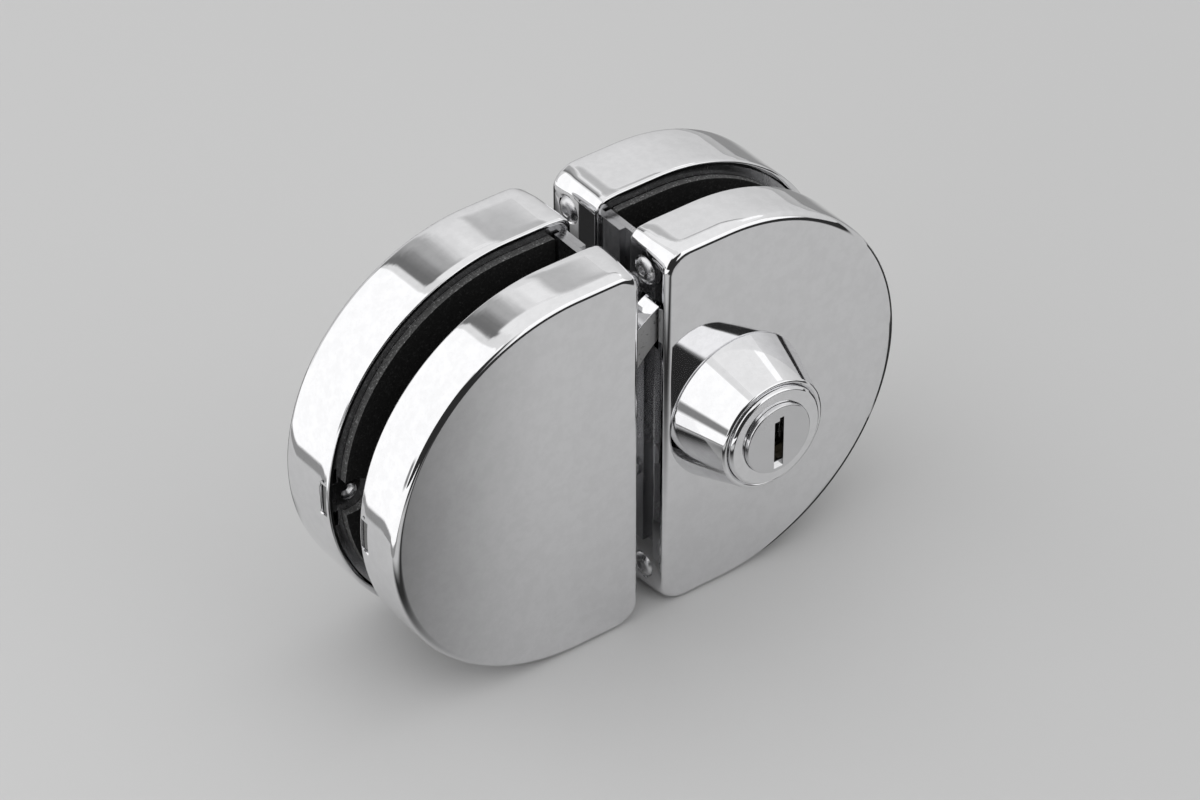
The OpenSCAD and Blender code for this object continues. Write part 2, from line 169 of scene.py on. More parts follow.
class DoorLockSizes(bpy.types.PropertyGroup):
    """Sizes of the dressed pieces."""

    sheet: length("Sheet", "Thickness of the covers' sheet", 0.0012)
    edge_round: length("Edge round", "Radius where a cover's face turns into its rim", 0.00175)
    corner_round: length("Corner round", "Radius of a cover's two corners at the straight side", 0.0035)
    corner_swell: length("Corner swell", "How much wider a corner is at the face than at the slot", 0.0025)
    corner_reach: length("Corner reach", "Width of rim over which a corner widens towards the face", 0.012)
    corner_lead: length("Corner lead", "Wide radius that leads from the rim into a corner", 0.03)
    lead_angle: angle("Lead angle", "Part of the corner that the wide radius turns", 8.0)
    cut_round: length("Cut edge", "Rounding of the covers' cut edges", 0.00022)
    slot_round: length("Slot edge", "Rounding of the covers' edges beside the glass", 0.0006)
    crown_reach: length("Crown reach", "Width of rim that polishing has rolled over beside the glass", 0.0026)
    crown_drop: length("Crown drop", "How far the rolled edge drops", 0.00018)
    pillow_reach: length("Pillow reach", "Width of rim that leans towards the face", 0.0026)
    pillow_lean: angle("Pillow lean", "Lean of the rim where its round to the face starts", 6.0)
    tab_half: length("Tab slot half width", "Half the width of the slot at the round end", 0.0043)
    tab_low: length("Tab slot near edge", "Depth from mid glass at which the tab slot starts", 0.0067)
    tab_high: length("Tab slot far edge", "Depth from mid glass at which the tab slot ends", 0.0089)
    tab_round: length("Tab slot round", "Rounding of the tab slot's outer edge towards the face", 0.0005)
    dot_radius: length("Dot", "Radius of the small hole beside the tab slot", 0.00045)
    dot_reach: length("Dot place", "Height of the small hole above the middle of the tab slot", 0.0052)
    window_room: length("Window room", "Room beside the hook bolt in the lock half's window", 0.0006)
    lock_window_low: length("Lock window foot", "Height at which the lock half's window starts", 0.02298)
    lock_window_high: length("Lock window top", "Height at which the lock half's window ends", 0.0356)
    strike_window_low: length("Strike window foot", "Depth of the strike's window below mid height", 0.0082)
    strike_window_high: length("Strike window top", "Height at which the strike half's window ends", 0.0307)
    barrel_hole: length("Barrel hole", "Radius of the front cover's hole for the cylinder's barrel", 0.01155)
    seat_radius: length("Screw seat", "Radius of the pressed seat round a cover screw", 0.0035)
    seat_depth: length("Seat depth", "Depth of the seat", 0.0005)
    hole_radius: length("Screw hole", "Radius of the hole in the seat", 0.00155)
    head_radius: length("Screw head", "Radius of a cover screw's head", 0.0032)
    head_height: length("Head height", "Height of the domed head", 0.0016)
    head_brim: length("Head brim", "Height of the straight edge under the dome", 0.00032)
    socket_rim: length("Socket rim", "Radius at which the dome ends round the socket", 0.001375)
    socket_sink: length("Socket sink", "Depth of the socket's edge below the top of the dome", 0.000064)
    socket_radius: length("Socket", "Radius of the six-sided socket over its corners", 0.00125)
    socket_depth: length("Socket depth", "Depth of the six-sided socket", 0.0011)
    shank_radius: length("Shank", "Radius of a cover screw's shank", 0.0015)
    shank_length: length("Shank length", "Length of a cover screw's shank", 0.005)
    screw_edge: length("Screw edge", "Rounding of the cover screws' edges", 0.00012)
    bore_radius: length("Collar bore", "Radius of the hole through the collar", 0.01275)
    lip_radius: length("Collar lip", "Outer radius of the collar's lip", 0.01405)
    lip_fall: length("Lip fall", "Fall of the bead from its crest to its outer edge", 0.00025)
    lip_dip: length("Lip dip", "Fall of the bead from its crest to the cylinder", 0.00045)
    crest_radius: length("Lip crest", "Radius at which the bead is highest", 0.0134)
    crest_round: length("Crest round", "Rounding of the bead's crest", 0.0002)
    lip_round: length("Lip round", "Rounding of the bead's outer edge", 0.0004)
    base_round: length("Base round", "Radius of the edge where the collar meets the cover", 0.00045)
    bracket_edge: length("Bracket edge", "Rounding of the brackets' edges", 0.0003)
    pad_edge: length("Pad edge", "Rounding of the rubber pads' edges", 0.00035)
    bolt_edge: length("Bolt edge", "Rounding of the hook bolt's edges", 0.00035)
    fine_edge: length("Fine edge", "Rounding of the cylinder's edges", 0.00016)
    plug_seat: length("Plug seat", "Radius of the recess that the plug's head turns in", 0.00915)
    seat_round: length("Plug seat round", "Rounding of the edge of that recess", 0.0003)
    plug_radius: length("Plug head", "Radius of the plug's head", 0.009)
    plug_round: length("Plug edge", "Rounding of the plug's head", 0.0004)
    key_guide: length("Key guide", "Chamfer at the foot of the keyway's mouth", 0.001)
    # The bright ring is a painted highlight, in brighter plated steel
    cup_rim: length("Cup rim", "Width of the bright ring on a clamp screw's point", 0.0004)
    cup_wall: length("Cup wall", "Width of the slope inside that ring", 0.0006)
    cup_depth: length("Cup depth", "Depth of the cup in a clamp screw's point", 0.0011)


class DoorLockFinishes(bpy.types.PropertyGroup):
    """Colours and polish of the surfaces."""

    cover_steel: colour("Cover steel", "Mirror-polished stainless sheet", (0.79, 0.79, 0.80))
    collar_steel: colour("Collar steel", "Polished plating of the cone and cylinder", (0.80, 0.80, 0.81))
    plug_steel: colour("Plug steel", "Fine turned face of the plug", (0.74, 0.74, 0.75))
    screw_steel: colour("Screw steel", "Bright plated screws and rivets", (0.74, 0.74, 0.75))
    bracket_steel: colour("Bracket steel", "Rolled sheet of the inner brackets", (0.48, 0.48, 0.49))
    cut_steel: colour("Cut steel", "Rough sheared ends of the brackets' tabs", (0.20, 0.20, 0.20))
    bolt_steel: colour("Bolt steel", "Sintered sides of the hook bolt", (0.50, 0.50, 0.50))
    # Painted shade: the dark colour of the clamp screws' cups and of the recess round the plug
    oxide_steel: colour("Oxide steel", "Dark oxide in the clamp cups and round the plug", (0.06, 0.06, 0.06))
    spring_steel: colour("Spring steel", "Clips, washers and springs", (0.50, 0.50, 0.52))
    # The wafers' near-black colour is painted shade inside the keyway
    wafer_brass: colour("Wafer brass", "Stamped wafers, dark with oil", (0.06, 0.05, 0.03))
    pad_rubber: colour("Pad rubber", "Black rubber of the pads", (0.011, 0.011, 0.011))
    # The rims' paler colour is painted light, for the light that falls on the pads' edges
    dusty_rubber: colour("Dusty rubber", "Cut rims of the pads, pale with dust", (0.1, 0.1, 0.1))
    mirror_haze: share("Mirror haze", "Roughness of the cleanest mirror polish", 0.035)
    mirror_smudge: share("Mirror smudge", "Extra roughness where the polish is handled", 0.05)


class DoorLockStage(bpy.types.PropertyGroup):
    """Floor, light and camera."""

    floor_grey: colour("Floor", "Pale floor under the lock", (0.62, 0.62, 0.62))
    sky_low: brightness("Sky at the horizon", "Brightness of the room near the horizon", 0.66)
    sky_high: brightness("Sky overhead", "Brightness of the room overhead", 0.85)
    room_dark: brightness("Dark room", "Brightness of the unlit front of the room in mirrors", 0.03)
    softbox: brightness("Softbox", "Brightness of the large cards", 1.2)
    top_box: brightness("Top softbox", "Brightness of the card overhead", 0.95)
    half_dark: brightness("Grey flags", "Brightness of the grey flags in mirrors", 0.3)
    stand_dark: brightness("Light stand", "Brightness of the stand behind the lock in mirrors", 0.18)
    run_flag: brightness("Run flag", "Brightness of the pale flag above the lock half", 0.55)
    side_flag: brightness("Side flag", "Brightness of the dark flag beside the strike half", 0.25)
    backdrop: brightness("Backdrop", "Brightness of the room past the floor, as the camera sees it", 0.6)
    camera_turn: angle("Camera turn", "Turn of the camera about the upright", -36.907)
    camera_rise: angle("Camera rise", "Height of the camera above the horizon", 37.837)
    camera_away: length("Camera distance", "Distance from the camera to the lock", 1.1253)
    lens: bpy.props.FloatProperty(
        name="Lens", description="Focal length on a 36 mm wide frame, in millimetres", default=149.3, min=10.0
    )


class Channel:
    """A node's output that takes part in Python sums."""

    def __init__(self, sheet, socket):
        self.sheet = sheet
        self.socket = socket

    def sum(self, operation, first, second):
        return self.sheet.node("ShaderNodeMath", {"operation": operation}, {0: first, 1: second})

    def __add__(self, other):
        return self.sum("ADD", self, other)

    def __radd__(self, other):
        return self.sum("ADD", other, self)

    def __sub__(self, other):
        return self.sum("SUBTRACT", self, other)

    def __rsub__(self, other):
        return self.sum("SUBTRACT", other, self)

    def __mul__(self, other):
        return self.sum("MULTIPLY", self, other)

    def __rmul__(self, other):
        return self.sum("MULTIPLY", other, self)


class Sheet:
    """The nodes of a material or a world, which are being filled in."""

    def __init__(self, owner):
        owner.use_nodes = True
        self.owner = owner
        self.tree = owner.node_tree
        self.tree.nodes.clear()

    def node(self, kind, settings, sockets, output=0):
        """Adds one node, with its settings first and then the values or links of its sockets."""
        made = self.tree.nodes.new(kind)
        for name, value in settings.items():
            setattr(made, name, value)
        for key, value in sockets.items():
            if isinstance(value, Channel):
                self.tree.links.new(value.socket, made.inputs[key])
            else:
                made.inputs[key].default_value = value
        return Channel(self, made.outputs[output]) if made.outputs else made

    def coords(self, kind):
        """Coordinates of one kind."""
        return self.node("ShaderNodeTexCoord", {}, {}, kind)

    def axes(self, at):
        """The three parts of a place."""
        return [self.node("ShaderNodeSeparateXYZ", {}, {0: at}, axis) for axis in "XYZ"]

    def ray(self, kind):
        """One for rays of a kind, and nought for others."""
        return self.node("ShaderNodeLightPath", {}, {}, kind)

    def place(self, scale=(1.0, 1.0, 1.0), centre=(0.0, 0.0, 0.0)):
        """Object coordinates, moved so that centre is their origin and then stretched."""
        moved = tuple(-c * s for c, s in zip(centre, scale))
        sockets = {"Vector": self.coords("Object"), "Location": moved, "Scale": scale}
        return self.node("ShaderNodeMapping", {}, sockets)

    def noise(self, at, scale, detail=2.0, roughness=0.6):
        """Smooth noise from nought to one, with scale in bumps to the metre."""
        return self.node(
            "ShaderNodeTexNoise", {}, {"Vector": at, "Scale": scale, "Detail": detail, "Roughness": roughness}
        )

    def step(self, value, low, high):
        """Nought below low, one above high, and a smooth rise between them."""
        sockets = {"Value": value, "From Min": low, "From Max": high}
        return self.node("ShaderNodeMapRange", {"interpolation_type": "SMOOTHSTEP"}, sockets)

    def band(self, value, low, full, fall, high):
        """One from full to fall, with smooth flanks down to nought at low and high."""
        return self.step(value, low, full) * (1.0 - self.step(value, fall, high))

    def between(self, factor, first, second):
        """A colour between two colours."""
        return self.node("ShaderNodeMix", {"data_type": "RGBA"}, {0: factor, 6: first, 7: second}, 2)

    def bump(self, height, strength, distance):
        """A normal from heights, with distance in metres."""
        return self.node("ShaderNodeBump", {}, {"Height": height, "Strength": strength, "Distance": distance})


def solid(tint, shade=1.0):
    """An opaque colour, made darker or lighter by shade."""
    return (tint[0] * shade, tint[1] * shade, tint[2] * shade, 1.0)


def new_sheet(name):
    """The empty nodes of a new material."""
    return Sheet(bpy.data.materials.new(name))


def surface(sheet, tone, roughness, normal=None, metallic=1.0, gleam=0.5):
    """Ends a sheet with one principled surface and returns its material."""
    sockets = {"Base Color": tone, "Roughness": roughness, "Metallic": metallic, "Specular IOR Level": gleam}
    if normal:
        sockets["Normal"] = normal
    shader = sheet.node("ShaderNodeBsdfPrincipled", {}, sockets)
    sheet.node("ShaderNodeOutputMaterial", {}, {"Surface": shader})
    return sheet.owner


def mirror_steel(name, tint, haze, smudge, wave):
    """Mirror polish with handled smudges, hairline scratches and the slow waves of pressed sheet."""
    sheet = new_sheet(name)
    at = sheet.place()
    cloud = sheet.step(sheet.noise(at, 38.0, detail=3.0), 0.45, 0.8)
    drag = sheet.place(scale=(1.0, 1.0, 14.0))
    hairline = sheet.step(sheet.noise(drag, 420.0, roughness=0.7), 0.62, 0.78)
    roughness = haze + smudge * cloud + 0.03 * hairline
    swell = sheet.noise(at, 46.0, detail=1.0, roughness=0.4)
    orange = sheet.noise(at, 700.0, roughness=0.5)
    height = wave * swell + 0.012 * orange
    mottle = sheet.step(sheet.noise(at, 380.0, detail=4.0, roughness=0.65), 0.35, 0.65)
    tone = sheet.between(0.35 * cloud + 0.65 * mottle, solid(tint, 1.06), solid(tint, 0.98))
    return surface(sheet, tone, roughness, sheet.bump(height, 1.0, 0.0001))


def turned_steel(name, tint, haze):
    """A turned face: fine rings about the cylinder's axis."""
    sheet = new_sheet(name)
    at = sheet.place(centre=(AXIS_X, 0.0, 0.0))
    rings = sheet.node(
        "ShaderNodeTexWave",
        {"wave_type": "RINGS", "rings_direction": "Y"},
        {"Vector": at, "Scale": 900.0, "Distortion": 0.6, "Detail": 2.0, "Detail Scale": 1.0},
    )
    cloud = sheet.noise(at, 160.0, detail=3.0)
    tone = sheet.between(cloud, solid(tint), solid(tint, 0.9))
    roughness = haze + 0.06 * cloud + 0.04 * rings
    return surface(sheet, tone, roughness, sheet.bump(rings, 0.35, 0.000003))


def rolled_steel(name, tint):
    """Rolled sheet: long faint lines, dull patches and small pits."""
    sheet = new_sheet(name)
    at = sheet.place()
    along = sheet.place(scale=(9.0, 9.0, 1.0))
    lines = sheet.noise(along, 260.0, detail=3.0)
    roll = sheet.noise(sheet.place(scale=(1.0, 1.0, 0.22)), 320.0, roughness=0.5)
    patch = sheet.noise(at, 120.0, detail=3.0)
    pits = sheet.step(sheet.noise(at, 1500.0, detail=1.0, roughness=0.5), 0.66, 0.78)
    tone = sheet.between(patch, solid(tint, 0.78), solid(tint, 1.1))
    height = roll * 16.0 + lines * 0.6 - pits
    return surface(sheet, tone, 0.14 + 0.16 * patch + 0.06 * lines, sheet.bump(height, 0.5, 0.00001))


def plated_steel(name, tint):
    """Bright plating on small turned parts."""
    sheet = new_sheet(name)
    at = sheet.place()
    cloud = sheet.noise(at, 420.0, detail=3.0)
    pits = sheet.noise(at, 2600.0, detail=1.0, roughness=0.5)
    tone = sheet.between(cloud, solid(tint, 0.9), solid(tint, 1.05))
    return surface(sheet, tone, 0.2 + 0.16 * cloud, sheet.bump(pits, 0.4, 0.000006))


def sintered_steel(name, tint):
    """Pressed and sintered metal: an even grain with dark pores."""
    sheet = new_sheet(name)
    at = sheet.place()
    grain = sheet.noise(at, 2300.0)
    pores = sheet.step(sheet.noise(at, 1300.0), 0.58, 0.72)
    tone = sheet.between(pores, solid(tint, 1.1), solid(tint, 0.55))
    return surface(sheet, tone, 0.34 + 0.2 * grain, sheet.bump(grain - pores, 0.5, 0.00002))


def oxide_steel(name, tint):
    """Painted shade for recesses: dark steel, a little brighter in random patches."""
    sheet = new_sheet(name)
    at = sheet.place()
    wear = sheet.step(sheet.noise(at, 700.0, detail=3.0), 0.5, 0.75)
    tone = sheet.between(wear, solid(tint), solid(tint, 1.9))
    return surface(sheet, tone, 0.46 - 0.14 * wear, metallic=0.9)


def sheared_steel(name, tint):
    """The torn grey end of punched sheet."""
    sheet = new_sheet(name)
    tear = sheet.noise(sheet.place(scale=(1.0, 0.3, 1.0)), 2400.0, detail=3.0, roughness=0.7)
    tone = sheet.between(tear, solid(tint, 0.6), solid(tint, 1.5))
    return surface(sheet, tone, 0.5 + 0.2 * tear, sheet.bump(tear, 0.6, 0.00003), metallic=0.8)


def stamped_brass(name, tint):
    """Stamped brass with faint drag lines."""
    sheet = new_sheet(name)
    lines = sheet.noise(sheet.place(scale=(1.0, 6.0, 1.0)), 500.0)
    tone = sheet.between(lines, solid(tint, 0.85), solid(tint, 1.05))
    return surface(sheet, tone, 0.4 + 0.15 * lines)


def grained_rubber(name, tint):
    """Matt black rubber with a leathery grain and a little dust."""
    sheet = new_sheet(name)
    at = sheet.place()
    grain = sheet.node(
        "ShaderNodeTexVoronoi",
        {"feature": "SMOOTH_F1"},
        {"Vector": at, "Scale": 1500.0, "Randomness": 1.0},
        "Distance",
    )
    fine = sheet.noise(at, 3800.0)
    dust = sheet.step(sheet.noise(at, 2100.0, detail=3.0, roughness=0.75), 0.52, 0.74)
    tone = sheet.between(dust, solid(tint), solid(tint, 5.0))
    normal = sheet.bump(grain + 0.5 * fine, 0.9, 0.00016)
    return surface(sheet, tone, 0.7 + 0.2 * fine, normal, metallic=0.0, gleam=0.22)


def material_set():
    """The lock's materials by name, made once."""
    look = bpy.context.scene.door_lock_finishes
    makers = {
        "cover_steel": (mirror_steel, (look.cover_steel, look.mirror_haze, look.mirror_smudge, 1.5)),
        "collar_steel": (mirror_steel, (look.collar_steel, look.mirror_haze, look.mirror_smudge, 0.0)),
        "plug_steel": (turned_steel, (look.plug_steel, 0.1)),
        "screw_steel": (plated_steel, (look.screw_steel,)),
        "bracket_steel": (rolled_steel, (look.bracket_steel,)),
        "cut_steel": (sheared_steel, (look.cut_steel,)),
        "bolt_side": (sintered_steel, (look.bolt_steel,)),
        "oxide_steel": (oxide_steel, (look.oxide_steel,)),
        "spring_steel": (plated_steel, (look.spring_steel,)),
        "wafer_brass": (stamped_brass, (look.wafer_brass,)),
        "pad_rubber": (grained_rubber, (look.pad_rubber,)),
        "dusty_rubber": (grained_rubber, (look.dusty_rubber,)),
    }
    made = {}
    for name, (maker, values) in makers.items():
        title = name + "_finish"
        made[name] = bpy.data.materials.get(title) or maker(title, *values)
    return made


def edges_within(bm, test):
    """Edges whose two ends both pass a test on their place."""
    return [edge for edge in bm.edges if all(test(vert.co) for vert in edge.verts)]


def round_edges(bm, test, offset, segments):
    """Rounds the edges whose two ends both pass a test on their place."""
    bmesh.ops.bevel(
        bm, geom=edges_within(bm, test), offset=offset, offset_type="OFFSET", affect="EDGES",
        segments=segments, profile=0.5, material=-1
    )


def along_glass(part):
    """Whether a face lies along the glass."""
    return abs(part.normal.y) > FACES_GLASS


def across_glass(part):
    """Whether a face stands out from the glass."""
    return not along_glass(part)


def circle_edges(bm, place, laid, radius, steps):
    """A round loop of edges, laid over by a quarter turn about one axis."""
    matrix = Matrix.Translation(place) @ Matrix.Rotation(RIGHT_ANGLE, 4, laid)
    verts = bmesh.ops.create_circle(bm, segments=steps, radius=radius, matrix=matrix)["verts"]
    return list({edge for vert in verts for edge in vert.link_edges})


def soften(piece, width, segments=2):
    """Rounds a piece's edges and evens its shading."""
    bevel = piece.modifiers.new("Soft edges", "BEVEL")
    bevel.width = width
    bevel.segments = segments
    bevel.limit_method = "ANGLE"
    bevel.angle_limit = EDGE_ANGLE
    bevel.use_clamp_overlap = True
    shade = piece.modifiers.new("Even shading", "WEIGHTED_NORMAL")
    shade.keep_sharp = True


def placed_mesh(bm, name, materials):
    """Turns a bmesh into an object in the scene."""
    mesh = bpy.data.meshes.new(name)
    bm.to_mesh(mesh)
    bm.free()
    for material in materials:
        mesh.materials.append(material)
    made = bpy.data.objects.new(name, mesh)
    bpy.context.scene.collection.objects.link(made)
    return made


def settle(bm, name, body, nodes, materials):
    """Turns a bmesh into a named piece that rides on a body and stands for CAD nodes."""
    for face in bm.faces:
        face.smooth = True
    piece = placed_mesh(bm, name, materials)
    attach(piece, body)
    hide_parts(*nodes)
    return piece


def merged_copy(node):
    """A bmesh of a CAD node's solid with its triangles joined into whole faces."""
    bm = bmesh.new()
    bm.from_mesh(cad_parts[node].data)
    bmesh.ops.remove_doubles(bm, verts=bm.verts, dist=WELD)
    bmesh.ops.dissolve_limit(bm, angle_limit=JOIN_ANGLE, verts=bm.verts, edges=bm.edges)
    bm.normal_update()
    return bm


def dressed_copy(node, name, body, materials, width, second=None, segments=2):
    """A CAD node's shape with softened edges, and with its second material on faces that pass a test."""
    bm = merged_copy(node)
    for face in bm.faces:
        face.material_index = 1 if second and second(face) else 0
    piece = settle(bm, name, body, [node], materials)
    soften(piece, width, segments)


def run_edges(bm, edges, offset):
    """Draws a profile straight on and returns its far edges."""
    made = bmesh.ops.extrude_edge_only(bm, edges=edges)["geom"]
    verts = {part for part in made if isinstance(part, bmesh.types.BMVert)}
    bmesh.ops.translate(bm, verts=list(verts), vec=offset)
    return [part for part in made if isinstance(part, bmesh.types.BMEdge) and verts.issuperset(part.verts)]


def turn_edges(bm, edges, centre, angle, steps):
    """Draws a profile round an axis through the glass and returns its far edges."""
    verts = {vert for edge in edges for vert in edge.verts}
    made = bmesh.ops.spin(
        bm, geom=list(verts) + list(edges), cent=centre, axis=(0.0, 1.0, 0.0), angle=angle, steps=steps
    )["geom_last"]
    return [part for part in made if isinstance(part, bmesh.types.BMEdge)]


def rim_profile(bm, depths, face, sizes, start_z):
    """The rim's section at the straight side: flat from the slot, then round to the face."""
    verts = [bm.verts.new((SIDE_X, -depth, start_z)) for depth in depths]
    for pair in zip(verts, verts[1:]):
        bm.edges.new(pair)
    centre = (SIDE_X + sizes.edge_round, -(face - sizes.edge_round), start_z)
    bmesh.ops.spin(
        bm, geom=[verts[-1]], cent=centre, axis=(0.0, 0.0, 1.0), angle=RIGHT_ANGLE, steps=EDGE_STEPS
    )
    return list(bm.edges)


def box_loop(bm, low, high):
    """A four-sided loop on the straight wall, from (depth, height) to (depth, height)."""
    corners = ((low[0], low[1]), (high[0], low[1]), (high[0], high[1]), (low[0], high[1]))
    verts = [bm.verts.new((SIDE_X, -depth, height)) for depth, height in corners]
    return [bm.edges.new((verts[i], verts[i - 1])) for i in range(len(verts))]


def narrow_loop(bm, edges, part, space):
    """Draws a loop on the straight wall in towards its middle."""
    verts = list({vert for edge in edges for vert in edge.verts})
    bmesh.ops.scale(bm, verts=verts, vec=(1.0, part, part), space=space)


def screw_places(sizes):
    """Depths of the front and rear cover screws from mid glass, and their height."""
    front = -SCREWS_LOW[1] - sizes.head_radius
    rear = SCREWS_HIGH[1] - sizes.head_radius
    return front, rear, SCREWS_HIGH[2] - sizes.head_radius


def cover_shell(face, screw_depth, screw_height, windows, barrel_radius, sizes):
    """One cover's outer skin on the lock half's front, with its slots, windows and screw seats."""
    bm = bmesh.new()
    corner_x = SIDE_X + sizes.corner_round
    dot_half = sizes.dot_radius * math.sqrt(0.5)
    dot_depth = (sizes.tab_low + sizes.tab_high) / 2
    turn = face - sizes.edge_round
    past_screw = screw_depth + SEAT_PART * sizes.seat_radius
    depths = [
        SLOT_HALF, sizes.tab_low, dot_depth - dot_half, dot_depth + dot_half, sizes.tab_high,
        screw_depth, past_screw, (past_screw + turn - sizes.pillow_reach) / 2
    ]
    depths += [turn - part * sizes.pillow_reach for part in PILLOW_PARTS]
    lead = sizes.lead_angle
    lead_x = corner_x - sizes.corner_round * math.sin(lead) + sizes.corner_lead * math.sin(lead)
    lead_z = END_R - sizes.corner_lead
    corner_z = lead_z + (sizes.corner_lead - sizes.corner_round) * math.cos(lead)
    edges = rim_profile(bm, depths, face, sizes, -corner_z)
    wall_end = [sizes.corner_swell / WALL_END_STEPS] * WALL_END_STEPS
    for run in wall_end + [2 * (corner_z - sizes.corner_swell)] + wall_end:
        edges = run_edges(bm, edges, (0.0, 0.0, run))
    edges = turn_edges(bm, edges, (corner_x, 0.0, corner_z), RIGHT_ANGLE - lead, CORNER_STEPS)
    edges = turn_edges(bm, edges, (lead_x, 0.0, lead_z), lead, LEAD_STEPS)
    edges = run_edges(bm, edges, (ROUND_X - lead_x, 0.0, 0.0))
    tab = math.asin(sizes.tab_half / END_R)
    dot_near = math.asin((sizes.dot_reach - dot_half) / END_R)
    dot_far = math.asin((sizes.dot_reach + dot_half) / END_R)
    arcs = (
        (RIGHT_ANGLE - dot_far, END_STEPS),
        (dot_far - dot_near, 1),
        (dot_near - tab, 1),
        (2 * tab, TAB_STEPS),
        (RIGHT_ANGLE - tab, END_STEPS + 2),
    )
    for angle, steps in arcs:
        edges = turn_edges(bm, edges, (ROUND_X, 0.0, 0.0), angle, steps)
    edges = run_edges(bm, edges, (lead_x - ROUND_X, 0.0, 0.0))
    edges = turn_edges(bm, edges, (lead_x, 0.0, -lead_z), lead, LEAD_STEPS)
    turn_edges(bm, edges, (corner_x, 0.0, -corner_z), RIGHT_ANGLE - lead, CORNER_STEPS)
    bmesh.ops.remove_doubles(bm, verts=bm.verts, dist=WELD)
    pillow_rim(bm, face, sizes)
    cut_round_end(bm, sizes, tab, dot_near, dot_far, dot_half, dot_depth)
    fill_straight_wall(bm, screw_depth, screw_height, windows, sizes)
    outline = [
        edge for edge in edges_within(bm, lambda co: abs(co.y + face) < ON_PLANE) if edge.is_boundary
    ]
    if barrel_radius:
        outline += circle_edges(bm, (AXIS_X, -face, 0.0), "X", barrel_radius, BARREL_STEPS)
        bmesh.ops.triangle_fill(bm, use_beauty=True, use_dissolve=False, edges=outline)
    else:
        bmesh.ops.contextual_create(bm, geom=outline)
    return bm


def corner_radius(depth, face, sizes):
    """Radius of a cover's corners at a depth: small beside the glass, and wide at the face."""
    part = max(0.0, 1.0 - (face - depth) / sizes.corner_reach)
    return sizes.corner_round + sizes.corner_swell * part * part


def corner_away(co, radius):
    """A point's place from the middle of its corner, or nothing where the rim is straight there."""
    away = Vector((co.x - SIDE_X - radius, 0.0, co.z - math.copysign(END_R - radius, co.z)))
    return away if away.x < 0.0 and away.z * co.z > 0.0 else None


def outline_way(co, radius):
    """The way out of the D outline beside a point of the rim, and how far the point lies inside it."""
    if co.x > ROUND_X:
        away = Vector((co.x - ROUND_X, 0.0, co.z))
        return away.normalized(), END_R - away.length
    away = corner_away(co, radius)
    if away:
        return away.normalized(), radius - away.length
    if END_R - abs(co.z) < co.x - SIDE_X:
        return Vector((0.0, 0.0, math.copysign(1.0, co.z))), END_R - abs(co.z)
    return Vector((-1.0, 0.0, 0.0)), co.x - SIDE_X


def rim_drop(depth, face, sizes):
    """How far polishing has worn the rim down at a depth: beside the glass, and towards the face."""
    drop = 0.0
    near = 1.0 - (depth - SLOT_HALF) / sizes.crown_reach
    if near > 0.0:
        drop += sizes.crown_drop * near * near
    turn = depth - (face - sizes.edge_round)
    lean = math.tan(sizes.pillow_lean)
    if turn > 0.0:
        whole = sizes.edge_round * RIGHT_ANGLE
        along = sizes.edge_round * math.asin(min(1.0, turn / sizes.edge_round))
        drop += lean * (sizes.pillow_reach / 2 + along - along * along / (2 * whole))
    elif turn > -sizes.pillow_reach:
        drop += lean * (turn + sizes.pillow_reach) ** 2 / (2 * sizes.pillow_reach)
    return drop


def pillow_rim(bm, face, sizes):
    """Widens the corners and wears the rim into a soft pillow, but leaves the straight wall flat."""
    for vert in bm.verts:
        depth = -vert.co.y
        radius = corner_radius(depth, face, sizes)
        away = corner_away(vert.co, radius)
        if away:
            inside = outline_way(vert.co, sizes.corner_round)[1]
            vert.co += away.normalized() * (radius - inside) - away
        way = outline_way(vert.co, radius)[0]
        keep = max(0.0, -way.x) if vert.co.x < ROUND_X else 0.0
        vert.co -= way * (rim_drop(depth, face, sizes) * (1.0 - keep))


def cut_round_end(bm, sizes, tab, dot_near, dot_far, dot_half, dot_depth):
    """Opens the tab slot and the small round hole beside it."""
    slot_faces = []
    dot_faces = []
    for part in bm.faces:
        middle = part.calc_center_median()
        angle = math.atan2(middle.z, middle.x - ROUND_X)
        if abs(angle) < tab and sizes.tab_low < -middle.y < sizes.tab_high:
            slot_faces.append(part)
        if dot_near < angle < dot_far and abs(-middle.y - dot_depth) < dot_half:
            dot_faces.append(part)
    dot_edges = list(dot_faces[0].edges)
    centre = dot_faces[0].calc_center_median()
    bmesh.ops.delete(bm, geom=slot_faces, context="FACES")
    bmesh.ops.delete(bm, geom=dot_faces, context="FACES")
    made = bmesh.ops.subdivide_edges(bm, edges=dot_edges, cuts=1)["geom_inner"]
    middles = [part for part in made if isinstance(part, bmesh.types.BMVert)]
    bmesh.ops.scale(
        bm, verts=middles, vec=(math.sqrt(2.0),) * 3, space=Matrix.Translation(-centre)
    )


